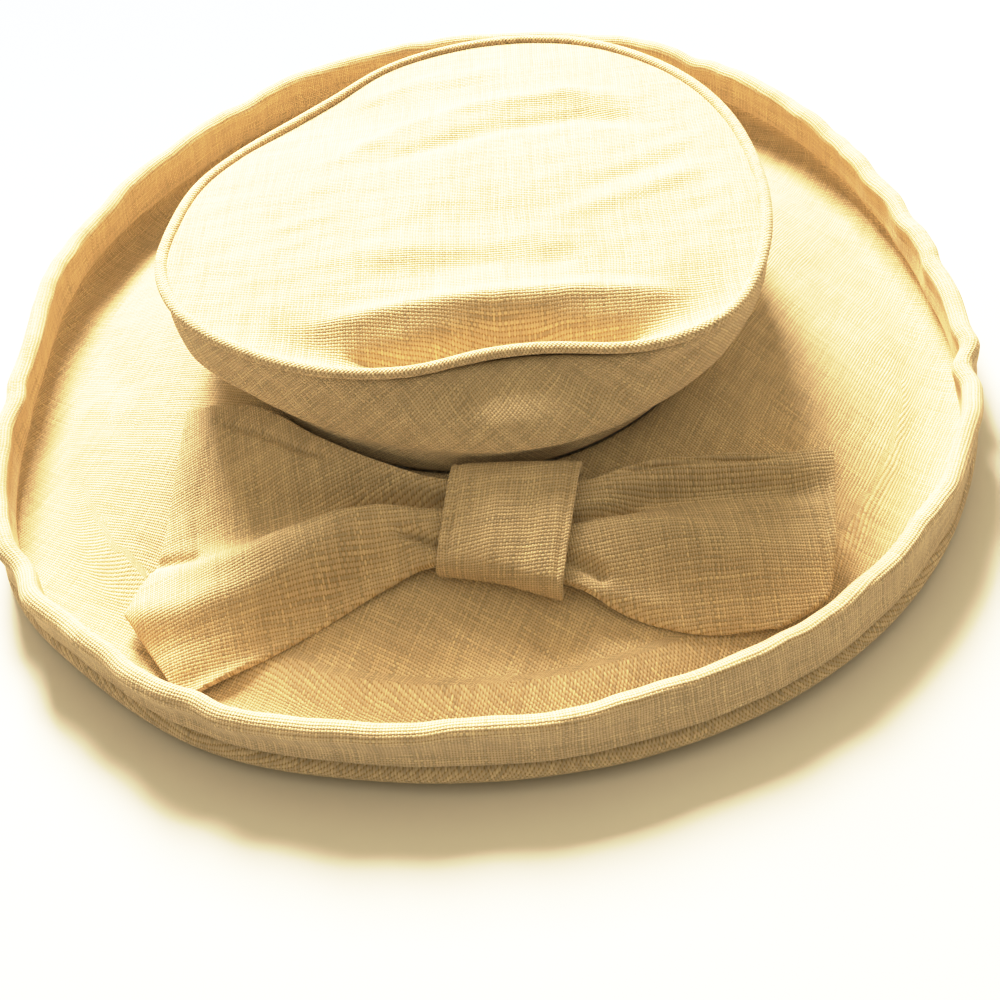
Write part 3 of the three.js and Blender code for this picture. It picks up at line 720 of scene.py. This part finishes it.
def wrap_cloth(piece):
    """Runs the cloth of the knot round its band instead of straight down."""
    co = points_of(piece)
    flat, _ = plan_of(co)
    fit = np.column_stack([flat, np.ones(len(co))])
    top = co[:, 2] > fit @ np.linalg.lstsq(fit, co[:, 2], rcond=None)[0] + KNOT_TOP
    plane = np.linalg.lstsq(fit[top], co[top, 2], rcond=None)[0]
    below = np.maximum(fit @ plane - co[:, 2], 0)
    middle = (flat[:, 1].max() + flat[:, 1].min()) / 2
    down = flat[:, 1] - middle + np.sign(flat[:, 1] - middle) * below
    corner_vertex = np.empty(len(piece.data.loops), int)
    piece.data.loops.foreach_get("vertex_index", corner_vertex)
    cloth = np.column_stack([flat[:, 0] - KNOT_SKEW * (flat[:, 1] - middle), down])
    piece.data.uv_layers["cloth"].data.foreach_set("uv", cloth[corner_vertex].ravel())


class HAT_OT_bow_knot(bpy.types.Operator):
    """Makes the knot: the band of cloth round the middle of the bow"""
    bl_idname = "hat.bow_knot"
    bl_label = "Bow knot"

    def execute(self, context):
        piece = flat_piece("bow_knot", "bow_knot_cloth", 4, 0.3)
        wrap_cloth(piece)
        co = points_of(piece)
        flat, _ = plan_of(co)
        lift = lumps(co, "bow_knot") + fold_rise(flat / MM, FOLDS["bow_knot"])
        co[:, 2] += lift * settings().crumple
        place_points(piece, co)
        finish_piece(piece, "bow_knot", linen("linen_knot_band", -2, 7))
        return {"FINISHED"}


# The camera stands where the photograph was taken from, in millimetres from the head seam's
# middle. It looks down at 48 degrees and is rolled a little.
CAMERA = {
    "place": (0.7, -388.8, 353.0),
    "down": 48.0,
    "roll": -6.0,
    "lens": 50.4,
}
LIGHT = {"azimuth": 101.0, "height": 43.0, "distance": 1.6, "width": 0.55, "tall": 0.7}
# The room light is strongest from above and behind, as seen along "toward", and weakest opposite.
ROOM = {
    "toward": (0.0, 0.55, 0.83),
    "weakest_at": -0.3,
    "strongest_at": 0.9,
    "weakest": 0.10,
    "strongest": 2.0,
}
# How a photograph renders brightness: shade a little deeper, and highlights that fade to white.
TONES = [
    {"light": 0.10, "shown": 0.075},
    {"light": 0.30, "shown": 0.26},
    {"light": 0.50, "shown": 0.49},
    {"light": 0.80, "shown": 0.80},
    {"light": 1.30, "shown": 0.96},
    {"light": 1.75, "shown": 1.0},
]
BRIGHTEST = 3.0
# The view's curves are red, green, blue and then this one for all three together.
COMBINED_CURVE = 3
FLOOR_SIZE = 6.0


class HAT_OT_stage(bpy.types.Operator):
    """Sets the floor, the light and the camera"""
    bl_idname = "hat.stage"
    bl_label = "Stage"

    def execute(self, context):
        chosen = settings()
        bpy.ops.mesh.primitive_plane_add(size=FLOOR_SIZE, location=(0, 0, 0))
        floor = context.object
        floor.name = "floor"
        paper = bpy.data.materials.new("matte_pale_paper")
        paper.use_nodes = True
        shader = paper.node_tree.nodes["Principled BSDF"]
        shader.inputs["Base Color"].default_value = linear("#DEDDD9")
        shader.inputs["Roughness"].default_value = 0.9
        floor.data.materials.append(paper)
        world = bpy.data.worlds.new("room")
        world.use_nodes = True
        background = world.node_tree.nodes["Background"]
        background.inputs["Color"].default_value = linear("#FFEDC6")
        sight = add_node(world.node_tree, "ShaderNodeTexCoord")
        share = add_node(world.node_tree, "ShaderNodeVectorMath", {
            0: sight.outputs["Generated"], 1: ROOM["toward"]}, operation="DOT_PRODUCT")
        brightness = add_node(world.node_tree, "ShaderNodeMapRange", {
            "Value": share.outputs["Value"],
            "From Min": ROOM["weakest_at"], "From Max": ROOM["strongest_at"],
            "To Min": chosen.sky * ROOM["weakest"], "To Max": chosen.sky * ROOM["strongest"]})
        world.node_tree.links.new(brightness.outputs["Result"], background.inputs["Strength"])
        context.scene.world = world
        # Plain sRGB, so that the lit paper burns out to white as it does in the photograph.
        view = context.scene.view_settings
        view.view_transform = "Standard"
        view.use_curve_mapping = True
        view.curve_mapping.white_level = (BRIGHTEST, BRIGHTEST, BRIGHTEST)
        for row in TONES:
            view.curve_mapping.curves[COMBINED_CURVE].points.new(row["light"] / BRIGHTEST, row["shown"])
        view.curve_mapping.update()
        lamp = bpy.data.lights.new("window", "AREA")
        lamp.shape = "RECTANGLE"
        lamp.size, lamp.size_y = LIGHT["width"], LIGHT["tall"]
        lamp.energy = chosen.key_power
        lamp.color = linear("#FFF7E8")[:3]
        window = bpy.data.objects.new("window", lamp)
        azimuth, height = math.radians(LIGHT["azimuth"]), math.radians(LIGHT["height"])
        away = Vector((math.cos(azimuth) * math.cos(height),
                       math.sin(azimuth) * math.cos(height), math.sin(height)))
        window.matrix_world = (Matrix.Translation(away * LIGHT["distance"])
                               @ away.to_track_quat("Z", "Y").to_matrix().to_4x4())
        context.scene.collection.objects.link(window)
        down, roll = math.radians(CAMERA["down"]), math.radians(CAMERA["roll"])
        ahead = Vector((0, math.cos(down), -math.sin(down)))
        right = Vector((1, 0, 0))
        up = right.cross(ahead)
        turned_right = right * math.cos(roll) + up * math.sin(roll)
        turned_up = up * math.cos(roll) - right * math.sin(roll)
        lens = bpy.data.cameras.new("photo")
        lens.sensor_width = 36.0
        lens.lens = CAMERA["lens"]
        camera = bpy.data.objects.new("photo", lens)
        place = Vector(CAMERA["place"]) * MM + Vector((*CENTRE, 0))
        axes = Matrix((turned_right, turned_up, -ahead)).transposed().to_4x4()
        camera.matrix_world = Matrix.Translation(place) @ axes
        context.scene.collection.objects.link(camera)
        context.scene.camera = camera
        return {"FINISHED"}


PIECE_OPERATORS = (
    HAT_OT_stage,
    HAT_OT_brim,
    HAT_OT_binding,
    HAT_OT_crown_side,
    HAT_OT_crown_tip,
    HAT_OT_tip_welt,
    HAT_OT_bow,
    HAT_OT_bow_knot,
)


class HAT_PT_panel(bpy.types.Panel):
    """Lists the pieces of the hat and the values a user may change"""
    bl_idname = "HAT_PT_panel"
    bl_label = "Linen sun hat"
    bl_space_type = "VIEW_3D"
    bl_region_type = "UI"
    bl_category = "Hat"

    def draw(self, context):
        for key in HatSettings.__annotations__:
            self.layout.prop(context.scene.linen_hat, key)
        for operator in PIECE_OPERATORS:
            self.layout.operator(operator.bl_idname)


CLASSES = (HatSettings, *PIECE_OPERATORS, HAT_PT_panel)


def register():
    for item in CLASSES:
        bpy.utils.register_class(item)
    bpy.types.Scene.linen_hat = bpy.props.PointerProperty(type=HatSettings)


def unregister():
    del bpy.types.Scene.linen_hat
    for item in reversed(CLASSES):
        bpy.utils.unregister_class(item)


def main():
    register()
    bpy.ops.hat.stage()
    bpy.ops.hat.brim()
    bpy.ops.hat.binding()
    bpy.ops.hat.crown_side()
    bpy.ops.hat.crown_tip()
    bpy.ops.hat.tip_welt()
    bpy.ops.hat.bow()
    bpy.ops.hat.bow_knot()


if __name__ == "__main__":
    main()
